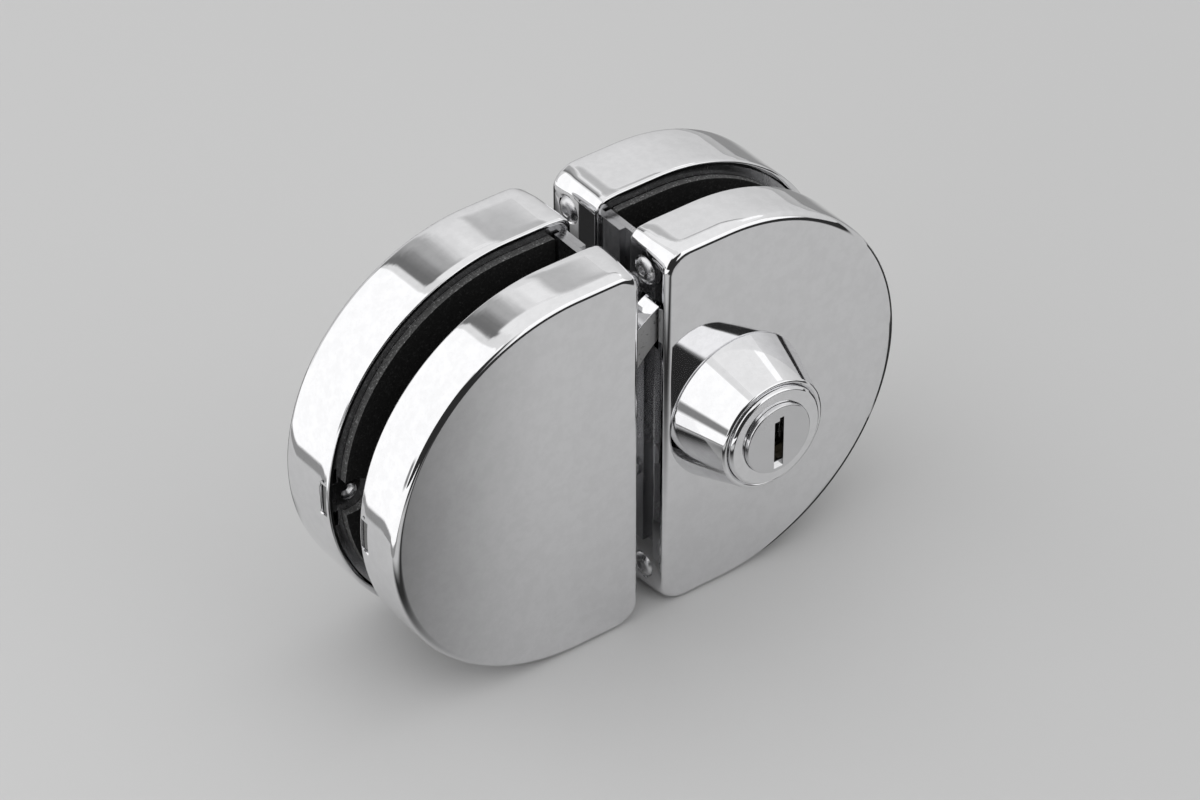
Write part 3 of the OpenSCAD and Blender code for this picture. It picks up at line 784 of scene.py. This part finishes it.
def fill_straight_wall(bm, screw_depth, screw_height, windows, sizes):
    """Fills the straight wall again round its windows, and presses the screw seats."""
    def on_wall(co):
        return abs(co.x - SIDE_X) < ON_PLANE and -co.y > sizes.tab_low - ON_PLANE

    wall = [part for part in bm.faces if all(on_wall(vert.co) for vert in part.verts)]
    bmesh.ops.delete(bm, geom=wall, context="FACES")
    outline = [edge for edge in edges_within(bm, on_wall) if edge.is_boundary]
    for low, high in windows:
        outline += box_loop(bm, low, high)
    places = [(SIDE_X, -screw_depth, height) for height in (screw_height, -screw_height)]
    seats = [circle_edges(bm, place, "Y", sizes.seat_radius, SEAT_STEPS) for place in places]
    bmesh.ops.triangle_fill(bm, use_beauty=True, use_dissolve=False, edges=outline + seats[0] + seats[1])
    foot_radius = sizes.seat_radius - sizes.seat_depth
    for place, seat in zip(places, seats):
        centre = Matrix.Translation(-Vector(place))
        foot = run_edges(bm, seat, (sizes.seat_depth, 0.0, 0.0))
        narrow_loop(bm, foot, foot_radius / sizes.seat_radius, centre)
        hole = run_edges(bm, foot, (0.0, 0.0, 0.0))
        narrow_loop(bm, hole, sizes.hole_radius / foot_radius, centre)


def screw_shape(sizes):
    """A domed socket screw along +X, with the head's seat at the origin."""
    bm = bmesh.new()
    low = bm.verts.new((0.0, sizes.head_radius, 0.0))
    brim = bm.verts.new((-sizes.head_brim, sizes.head_radius, 0.0))
    bm.edges.new((low, brim))
    rise = sizes.head_height - sizes.head_brim
    half = sizes.head_radius - sizes.socket_rim
    dome_radius = (half * half + rise * rise) / (2 * rise)
    bmesh.ops.spin(
        bm, geom=[brim], cent=(dome_radius - sizes.head_height, sizes.socket_rim, 0.0), axis=(0.0, 0.0, 1.0),
        angle=2 * math.atan2(rise, half), steps=DOME_STEPS
    )
    neck = bm.verts.new((0.0, sizes.shank_radius, 0.0))
    bm.edges.new((low, neck))
    foot = bm.verts.new((sizes.shank_length, sizes.shank_radius, 0.0))
    bm.edges.new((neck, foot))
    bmesh.ops.spin(
        bm, geom=list(bm.verts) + list(bm.edges), cent=(0.0, 0.0, 0.0), axis=(1.0, 0.0, 0.0), angle=FULL_TURN,
        steps=SCREW_STEPS, use_merge=True
    )
    bmesh.ops.remove_doubles(bm, verts=bm.verts, dist=WELD)
    rim = [edge for edge in bm.edges if edge.is_boundary and edge.verts[0].co.x < -sizes.head_brim]
    socket_place = (sizes.socket_sink - sizes.head_height, 0.0, 0.0)
    socket = circle_edges(bm, socket_place, "Y", sizes.socket_radius, SOCKET_SIDES)
    bmesh.ops.bridge_loops(bm, edges=rim + socket)
    bmesh.ops.contextual_create(bm, geom=run_edges(bm, socket, (sizes.socket_depth, 0.0, 0.0)))
    bmesh.ops.contextual_create(bm, geom=[edge for edge in bm.edges if edge.is_boundary])
    bmesh.ops.recalc_face_normals(bm, faces=bm.faces)
    return bm


class DOORLOCK_OT_covers(bpy.types.Operator):
    """Builds the four polished covers"""

    bl_idname = "door_lock.covers"
    bl_label = "Covers"

    def execute(self, context):
        sizes = context.scene.door_lock_sizes
        steel = material_set()["cover_steel"]
        bolt_low, bolt_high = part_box("hook_bolt")
        near = -bolt_high[1] - sizes.window_room
        far = -bolt_low[1] + sizes.window_room
        lock_window = ((near, sizes.lock_window_low), (far, sizes.lock_window_high))
        # The strike's window leaves as much room again
        near -= sizes.window_room
        far += sizes.window_room
        strike_window = ((near, -sizes.strike_window_low), (far, sizes.strike_window_high))
        front, rear, height = screw_places(sizes)
        covers = (
            ("lock_front_cover", (1, 1, 1), FRONT_FACE, front, [lock_window], sizes.barrel_hole),
            ("lock_rear_cover", (1, -1, 1), REAR_FACE, rear, [], None),
            ("strike_front_cover", (-1, 1, 1), FRONT_FACE, front, [strike_window], None),
            ("strike_rear_cover", (-1, -1, 1), REAR_FACE, rear, [], None),
        )
        for node, flip, face, screw, windows, hole in covers:
            bm = cover_shell(face, screw, height, windows, hole, sizes)
            bmesh.ops.scale(bm, verts=bm.verts, vec=flip)
            bmesh.ops.recalc_face_normals(bm, faces=bm.faces)
            self.face_out(bm, flip[1] * -face)
            bmesh.ops.solidify(bm, geom=bm.faces, thickness=sizes.sheet)
            self.round_outer_edges(bm, flip, sizes)
            body = "lock_half" if flip[0] > 0 else "strike_half"
            piece = settle(bm, "polished_" + node, body, [node], [steel])
            soften(piece, sizes.cut_round)
        return {"FINISHED"}

    def round_outer_edges(self, bm, flip, sizes):
        """Rounds the sheet's outer edge beside the glass, and the tab slot's towards the face."""
        def home(co):
            return Vector((co.x * flip[0], co.y * flip[1], co.z))

        def outer(place):
            return outline_way(place, sizes.corner_round)[1] < OUTER_PART * sizes.sheet

        def by_glass(co):
            place = home(co)
            return abs(place.y + SLOT_HALF) < ON_PLANE and outer(place)

        def by_tab(co):
            place = home(co)
            beside = abs(place.y + sizes.tab_high) < NEAR_RING and abs(place.z) < sizes.tab_half + NEAR_RING
            return beside and place.x > ROUND_X and outer(place)

        round_edges(bm, by_glass, sizes.slot_round, 4)
        round_edges(bm, by_tab, sizes.tab_round, 4)

    def face_out(self, bm, face_y):
        """Turns the skin round if its large face looks inwards."""
        large = max(filter(along_glass, bm.faces), key=lambda part: part.calc_area())
        if large.normal.y * face_y < 0:
            bmesh.ops.reverse_faces(bm, faces=bm.faces)


class DOORLOCK_OT_cylinder(bpy.types.Operator):
    """Spins the cone collar, and dresses the cylinder body and the plug"""

    bl_idname = "door_lock.cylinder"
    bl_label = "Collar and cylinder"

    def execute(self, context):
        sizes = context.scene.door_lock_sizes
        steels = material_set()
        self.collar(sizes, [steels["collar_steel"]])
        self.case(sizes, [steels["collar_steel"], steels["oxide_steel"]])
        self.plug(sizes, [steels["plug_steel"]])
        return {"FINISHED"}

    def collar(self, sizes, materials):
        """The cone, with a bead at its lip."""
        bm = bmesh.new()
        lip_edge = COLLAR_LIP_Y + sizes.lip_fall
        section = (
            (sizes.bore_radius, COLLAR_BASE_Y),
            (COLLAR_BASE_R, COLLAR_BASE_Y),
            (sizes.lip_radius, lip_edge),
            (sizes.crest_radius, COLLAR_LIP_Y),
            (sizes.bore_radius, COLLAR_LIP_Y + sizes.lip_dip),
        )
        verts = [bm.verts.new((AXIS_X + radius, y, 0.0)) for radius, y in section]
        edges = [bm.edges.new((verts[i], verts[i - 1])) for i in range(len(verts))]
        bmesh.ops.spin(
            bm, geom=verts + edges, cent=(AXIS_X, 0.0, 0.0), axis=(0.0, 1.0, 0.0), angle=FULL_TURN,
            steps=COLLAR_STEPS, use_merge=True
        )
        bmesh.ops.remove_doubles(bm, verts=bm.verts, dist=WELD)
        bmesh.ops.recalc_face_normals(bm, faces=bm.faces)
        self.round_ring(bm, sizes.lip_radius, lip_edge, sizes.lip_round, 6)
        self.round_ring(bm, sizes.crest_radius, COLLAR_LIP_Y, sizes.crest_round, 3)
        self.round_ring(bm, COLLAR_BASE_R, COLLAR_BASE_Y, sizes.base_round, 4)
        piece = settle(bm, "cone_collar", "lock_half", ["cylinder_collar"], materials)
        soften(piece, sizes.fine_edge, 3)

    def case(self, sizes, materials):
        """The fixed body, with painted shade in the recess round the plug."""
        bm = merged_copy("cylinder_body")
        self.round_ring(bm, sizes.plug_seat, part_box("cylinder_body")[0][1], sizes.seat_round, 3)
        # Faces in the recess round the plug get the painted shade
        reach = sizes.plug_seat + sizes.seat_round + NEAR_RING
        for part in bm.faces:
            inside = all(math.hypot(vert.co.x - AXIS_X, vert.co.z) < reach for vert in part.verts)
            part.material_index = 1 if inside and part.calc_center_median().y < COLLAR_BASE_Y else 0
        piece = settle(bm, "cylinder_case", "lock_half", ["cylinder_body"], materials)
        soften(piece, sizes.fine_edge)

    def plug(self, sizes, materials):
        """The plug, with a rounded head and a guide for the key."""
        bm = merged_copy("plug")
        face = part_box("plug")[0][1]
        self.guide_key(bm, face, sizes)
        self.round_ring(bm, sizes.plug_radius, face, sizes.plug_round, 4)
        piece = settle(bm, "key_plug", "bolt", ["plug"], materials)
        soften(piece, sizes.fine_edge)

    def guide_key(self, bm, face, sizes):
        """Chamfers the foot of the keyway's mouth."""
        def in_mouth(co):
            reach = math.hypot(co.x - AXIS_X, co.z)
            return abs(co.y - face) < ON_PLANE and reach < MOUTH_PART * sizes.plug_radius

        mouth = edges_within(bm, in_mouth)
        walls = {part for edge in mouth for part in edge.link_faces if across_glass(part)}
        sides = {edge for part in walls for edge in part.edges}
        corners = {vert for part in walls for vert in part.verts}
        bmesh.ops.bisect_plane(
            bm, geom=list(walls) + list(sides) + list(corners), plane_co=(0.0, face + sizes.key_guide, 0.0),
            plane_no=(0.0, 1.0, 0.0)
        )
        low = min(vert.co.z for edge in mouth for vert in edge.verts)
        foot = [vert for vert in bm.verts if in_mouth(vert.co) and vert.co.z < low + ON_PLANE]
        bmesh.ops.translate(bm, verts=foot, vec=(0.0, 0.0, -sizes.key_guide))

    def round_ring(self, bm, radius, y, offset, segments):
        """Rounds the ring of edges at one radius and depth."""
        def on_ring(co):
            reach = math.hypot(co.x - AXIS_X, co.z)
            return abs(reach - radius) < NEAR_RING and abs(co.y - y) < ON_PLANE

        round_edges(bm, on_ring, offset, segments)


class DOORLOCK_OT_brackets(bpy.types.Operator):
    """Dresses the inner brackets, the keeper and the rivets"""

    bl_idname = "door_lock.brackets"
    bl_label = "Brackets"

    def execute(self, context):
        sizes = context.scene.door_lock_sizes
        steels = material_set()
        sheet = [steels["bracket_steel"], steels["cut_steel"]]
        width = sizes.bracket_edge

        def tab_end(face):
            return abs(face.calc_center_median().x) > END_X - sizes.sheet

        for half in ("lock", "strike"):
            body = half + "_half"
            for part in ("front", "rear"):
                node = f"{half}_{part}_bracket"
                dressed_copy(node, "rolled_" + node, body, sheet, width, tab_end)
            node = half + "_web_rivets"
            dressed_copy(node, "dome_" + node, body, [steels["screw_steel"]], sizes.fine_edge)
        node = "strike_keeper"
        dressed_copy(node, "rolled_" + node, "strike_half", sheet[:1], width)
        return {"FINISHED"}


class DOORLOCK_OT_pads(bpy.types.Operator):
    """Dresses the rubber pads that grip the glass"""

    bl_idname = "door_lock.pads"
    bl_label = "Rubber pads"

    def execute(self, context):
        width = context.scene.door_lock_sizes.pad_edge
        finishes = material_set()
        rubber = [finishes["pad_rubber"], finishes["dusty_rubber"]]
        for half in ("lock", "strike"):
            body = half + "_half"
            for part in ("front", "rear"):
                node = f"{half}_{part}_pad"
                # The pads' rims get the paler rubber, painted light on their edges
                dressed_copy(node, "rubber_" + node, body, rubber, width, across_glass)
        return {"FINISHED"}


class DOORLOCK_OT_screws(bpy.types.Operator):
    """Builds the domed cover screws"""

    bl_idname = "door_lock.screws"
    bl_label = "Cover screws"

    def execute(self, context):
        sizes = context.scene.door_lock_sizes
        steel = material_set()["screw_steel"]
        front, rear, height = screw_places(sizes)
        seat = SCREWS_LOW[0] + sizes.head_height
        for half, turn in (("lock", 0.0), ("strike", HALF_TURN)):
            whole = bmesh.new()
            side = math.copysign(seat, math.cos(turn))
            for y in (-front, rear):
                for z in (height, -height):
                    bm = screw_shape(sizes)
                    place = Matrix.Translation((side, y, z)) @ Matrix.Rotation(turn, 4, "Z")
                    bmesh.ops.transform(bm, matrix=place, verts=bm.verts)
                    loose = bpy.data.meshes.new("screw")
                    bm.to_mesh(loose)
                    bm.free()
                    whole.from_mesh(loose)
                    bpy.data.meshes.remove(loose)
            node = half + "_cover_screws"
            piece = settle(whole, "domed_" + node, half + "_half", [node], [steel])
            soften(piece, sizes.screw_edge)
        return {"FINISHED"}


class DOORLOCK_OT_bolt(bpy.types.Operator):
    """Dresses the hook bolt, with grained sides and a polished edge"""

    bl_idname = "door_lock.bolt"
    bl_label = "Hook bolt"

    def execute(self, context):
        width = context.scene.door_lock_sizes.bolt_edge
        steels = material_set()
        finish = [steels["bolt_side"], steels["collar_steel"]]
        dressed_copy("hook_bolt", "curved_hook_bolt", "bolt", finish, width, across_glass, 3)
        return {"FINISHED"}


class DOORLOCK_OT_works(bpy.types.Operator):
    """Gives the inner works their finishes"""

    bl_idname = "door_lock.works"
    bl_label = "Inner works"

    def execute(self, context):
        sizes = context.scene.door_lock_sizes
        steels = material_set()
        cups = [steels["bolt_side"], steels["oxide_steel"], steels["screw_steel"]]
        for half in ("lock", "strike"):
            self.cup_screws(half, sizes, cups)
        finishes = {
            "lock_clamp_nuts": "bracket_steel",
            "strike_clamp_nuts": "bracket_steel",
            "cylinder_clip": "spring_steel",
            "stop_pins": "bracket_steel",
            # The wafers are painted dark for the shade inside the keyway
            "wafers": "wafer_brass",
            "wafer_springs": "spring_steel",
            "bolt_washer": "spring_steel",
            "bolt_screw": "screw_steel",
        }
        for node, finish in finishes.items():
            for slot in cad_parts[node].material_slots:
                slot.material = steels[finish]
        return {"FINISHED"}

    def cup_screws(self, half, sizes, materials):
        """Cups the points of the clamp screws, as grub screws have them."""
        node = half + "_clamp_screws"
        bm = merged_copy(node)
        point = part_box(node)[0][1]
        tips = [part for part in bm.faces if abs(part.calc_center_median().y - point) < ON_PLANE]
        rims = bmesh.ops.inset_individual(
            bm, faces=tips, thickness=sizes.cup_rim, use_even_offset=True
        )["faces"]
        walls = bmesh.ops.inset_individual(
            bm, faces=tips, thickness=sizes.cup_wall, depth=-sizes.cup_depth, use_even_offset=True
        )["faces"]
        # The cup's floor gets painted shade, and its ring and wall a brighter plated steel as a painted
        # highlight
        for part in tips:
            part.material_index = 1
        for part in rims + walls:
            part.material_index = 2
        piece = settle(bm, "cupped_" + node, half + "_half", [node], materials)
        soften(piece, sizes.fine_edge)


class DOORLOCK_OT_stage(bpy.types.Operator):
    """Lays the floor, lights the lock and sets the camera"""

    bl_idname = "door_lock.stage"
    bl_label = "Stage"

    def execute(self, context):
        stage = context.scene.door_lock_stage
        context.scene.view_settings.view_transform = "Standard"
        self.floor(stage)
        self.room(context, stage)
        self.cards(stage)
        self.camera(context, stage)
        return {"FINISHED"}

    def flat(self, name, size, place, turn, material):
        """A flat stage panel, with its place in its mesh."""
        bm = bmesh.new()
        bm.loops.layers.uv.new("across")
        matrix = Matrix.LocRotScale(Vector(place), Euler(turn), Vector((*size, 1.0)))
        bmesh.ops.create_grid(bm, x_segments=1, y_segments=1, size=0.5, matrix=matrix, calc_uvs=True)
        panel = placed_mesh(bm, name, [material])
        return panel

    def floor(self, stage):
        """Pale floor whose far front goes dark in mirrors, as the unlit room does."""
        sheet = new_sheet("floor_paper")
        x, y = sheet.axes(sheet.coords("Object"))[:2]
        ahead = y * -1.0
        front = sheet.step(ahead, 0.13, 0.18)
        # A painted shadow of the lock on the floor at its front left, seen only in mirrors
        left = sheet.band(x * -0.8 - y * 0.6, 0.031, 0.095, 0.1, 0.13) * sheet.step(ahead, 0.0, 0.03)
        unlit = 1.0 - (1.0 - front) * (1.0 - left)
        paper = sheet.node("ShaderNodeBsdfDiffuse", {}, {"Color": solid(stage.floor_grey)})
        dark = sheet.node("ShaderNodeEmission", {}, {"Color": solid((stage.room_dark,) * 3)})
        mirrored = unlit * sheet.ray("Is Glossy Ray")
        mixed = sheet.node("ShaderNodeMixShader", {}, {0: mirrored, 1: paper, 2: dark})
        sheet.node("ShaderNodeOutputMaterial", {}, {"Surface": mixed})
        self.flat("floor", (8.0, 8.0), (0.0, 0.0, FLOOR_Z), (0.0, 0.0, 0.0), sheet.owner)

    def room(self, context, stage):
        """Even soft light from above, dark at the front near the horizon and round the camera."""
        sheet = Sheet(bpy.data.worlds.new("studio"))
        context.scene.world = sheet.owner
        toward = sheet.coords("Generated")
        x, y, z = sheet.axes(toward)
        sky = stage.sky_low + (stage.sky_high - stage.sky_low) * sheet.step(z, 0.0, 0.8)
        ripple = x + 0.1 * sheet.noise(toward, 9.0) + 0.03 * sheet.noise(toward, 50.0) - 0.065
        stand = sheet.band(ripple, -0.17, -0.13, 0.08, 0.2)
        stand = stand * (1.0 - 0.4 * sheet.step(ripple, -0.1, 0.05))
        stand = stand * sheet.step(y, 0.56, 0.62) * sheet.step(z, 0.3, 0.4)
        sky = sky - (sky - stage.stand_dark) * stand
        lit_side = sheet.step(x, -0.02, 0.08)
        camera_side = (1.0 - lit_side) * (1.0 - sheet.step(z, 0.58, 0.66))
        horizon = lit_side * (1.0 - sheet.step(z, 0.0, 0.1))
        shade = sheet.step(y * -1.0, 0.46, 0.6) * (camera_side + horizon)
        lit = sky * (1.0 - shade) + stage.room_dark * shade
        camera = sheet.ray("Is Camera Ray")
        level = lit * (1.0 - camera) + camera * stage.backdrop
        glow = sheet.node("ShaderNodeBackground", {}, {"Color": (1.0, 1.0, 1.0, 1.0), "Strength": level})
        sheet.node("ShaderNodeOutputWorld", {}, {"Surface": glow})

    def cards(self, stage):
        """White softboxes and dark flags that the polished steel mirrors."""
        bright = stage.softbox
        grey = stage.half_dark
        dark = stage.room_dark
        floor = FLOOR_Z + CARD_LIFT
        flat = (0.0, 0.0, 0.0)
        upright = (RIGHT_ANGLE, 0.0, 0.0)
        sideways = (0.0, RIGHT_ANGLE, 0.0)
        leaning = (0.0, -math.atan2(0.65, 0.46), 0.0)
        toe_turn = (0.0, 0.0, math.radians(-45.8))
        heel_turn = (0.0, 0.0, math.radians(-24.6))
        cards = (
            ("softbox_left", (0.86, 1.3), (-0.4485, 0.3, 0.249), leaning, bright, 0.02, False),
            ("softbox_front", (1.02, 0.62), (0.54, -0.7, 0.35), upright, bright, 0.04, False),
            ("softbox_top", (0.93, 1.2), (0.335, -0.1, 0.66), flat, stage.top_box, 0.04, False),
            ("softbox_over", (0.29, 0.35), (-0.275, -0.575, 0.66), flat, bright, 0.1, False),
            ("bounce_left", (0.61, 1.3), (-0.455, 0.3, floor), flat, bright, 0.01, True),
            ("flag_seam", (0.44, 0.05), (0.58, 0.515, 0.66), flat, grey, 0.45, True),
            ("softbox_back", (0.18, 0.14), (0.25, 0.55, 0.661), flat, stage.top_box, 0.3, True),
            ("flag_run", (0.06, 0.12), (0.088, 0.15, 0.2), flat, stage.run_flag, 0.3, True),
            ("flag_left", (0.02, 1.2), (-0.142, 0.3, floor), flat, grey, 0.2, True),
            ("flag_right", (0.47, 0.57), (0.37, 0.31, floor), flat, grey, 0.25, True),
            ("flag_foot", (0.22, 0.1), (0.2, 0.003, floor), flat, dark, 0.03, True),
            ("flag_toe", (0.04, 0.06), (0.123, -0.0375, floor), toe_turn, dark, 0.05, True),
            ("flag_gap", (0.18, 0.16), (0.01, 0.13, floor), flat, dark, 0.1, True),
            ("flag_heel", (0.06, 0.04), (0.0682, -0.0134, floor), heel_turn, dark, 0.03, True),
            ("flag_side", (0.16, 0.3), (-0.5, -0.06, 0.05), sideways, stage.side_flag, 0.3, True),
            ("softbox_strip", (0.26, 0.42), (0.66, 0.1, 0.655), flat, bright, 0.06, True),
        )
        for name, size, place, turn, level, soft, mirror_only in cards:
            sheet = new_sheet(name)
            shown = 1.0
            for way in sheet.axes(sheet.coords("UV"))[:2]:
                shown = sheet.band(way, 0.0, soft, 1.0 - soft, 1.0) * shown
            glow = sheet.node("ShaderNodeEmission", {}, {"Color": (1.0, 1.0, 1.0, 1.0), "Strength": level})
            clear = sheet.node("ShaderNodeBsdfTransparent", {}, {})
            mixed = sheet.node("ShaderNodeMixShader", {}, {0: shown, 1: clear, 2: glow})
            sheet.node("ShaderNodeOutputMaterial", {}, {"Surface": mixed})
            card = self.flat(name, size, place, turn, sheet.owner)
            card.visible_camera = False
            card.visible_diffuse = not mirror_only
            card.visible_shadow = not mirror_only

    def camera(self, context, stage):
        """The photograph's viewpoint."""
        lens = bpy.data.cameras.new("camera")
        lens.lens = stage.lens
        lens.sensor_width = FRAME_WIDTH
        lens.clip_start = NEAR_LIMIT
        camera = bpy.data.objects.new("camera", lens)
        camera.rotation_euler = Euler((RIGHT_ANGLE - stage.camera_rise, 0.0, stage.camera_turn))
        camera.location = camera.rotation_euler.to_matrix() @ Vector((0.0, 0.0, stage.camera_away))
        context.scene.collection.objects.link(camera)
        context.scene.camera = camera


OPERATORS = (
    DOORLOCK_OT_covers,
    DOORLOCK_OT_cylinder,
    DOORLOCK_OT_brackets,
    DOORLOCK_OT_pads,
    DOORLOCK_OT_screws,
    DOORLOCK_OT_bolt,
    DOORLOCK_OT_works,
    DOORLOCK_OT_stage,
)


class DOORLOCK_PT_sidebar(bpy.types.Panel):
    """Lists the lock's settings and builders"""

    bl_idname = "DOORLOCK_PT_sidebar"
    bl_label = "Glass Door Lock"
    bl_space_type = "VIEW_3D"
    bl_region_type = "UI"
    bl_category = "Door Lock"

    def draw(self, context):
        scene = context.scene
        for group in (scene.door_lock_sizes, scene.door_lock_finishes, scene.door_lock_stage):
            box = self.layout.box()
            for name in group.bl_rna.properties.keys():
                if name not in ("rna_type", "name"):
                    box.prop(group, name)
        for operator in OPERATORS:
            self.layout.operator(operator.bl_idname)


CLASSES = (DoorLockSizes, DoorLockFinishes, DoorLockStage) + OPERATORS + (DOORLOCK_PT_sidebar,)


def register():
    for part in CLASSES:
        bpy.utils.register_class(part)
    bpy.types.Scene.door_lock_sizes = bpy.props.PointerProperty(type=DoorLockSizes)
    bpy.types.Scene.door_lock_finishes = bpy.props.PointerProperty(type=DoorLockFinishes)
    bpy.types.Scene.door_lock_stage = bpy.props.PointerProperty(type=DoorLockStage)


def unregister():
    del bpy.types.Scene.door_lock_stage
    del bpy.types.Scene.door_lock_finishes
    del bpy.types.Scene.door_lock_sizes
    for part in reversed(CLASSES):
        bpy.utils.unregister_class(part)


def main():
    register()
    bpy.ops.door_lock.stage()
    bpy.ops.door_lock.covers()
    bpy.ops.door_lock.cylinder()
    bpy.ops.door_lock.brackets()
    bpy.ops.door_lock.pads()
    bpy.ops.door_lock.screws()
    bpy.ops.door_lock.bolt()
    bpy.ops.door_lock.works()


if __name__ == "__main__":
    main()
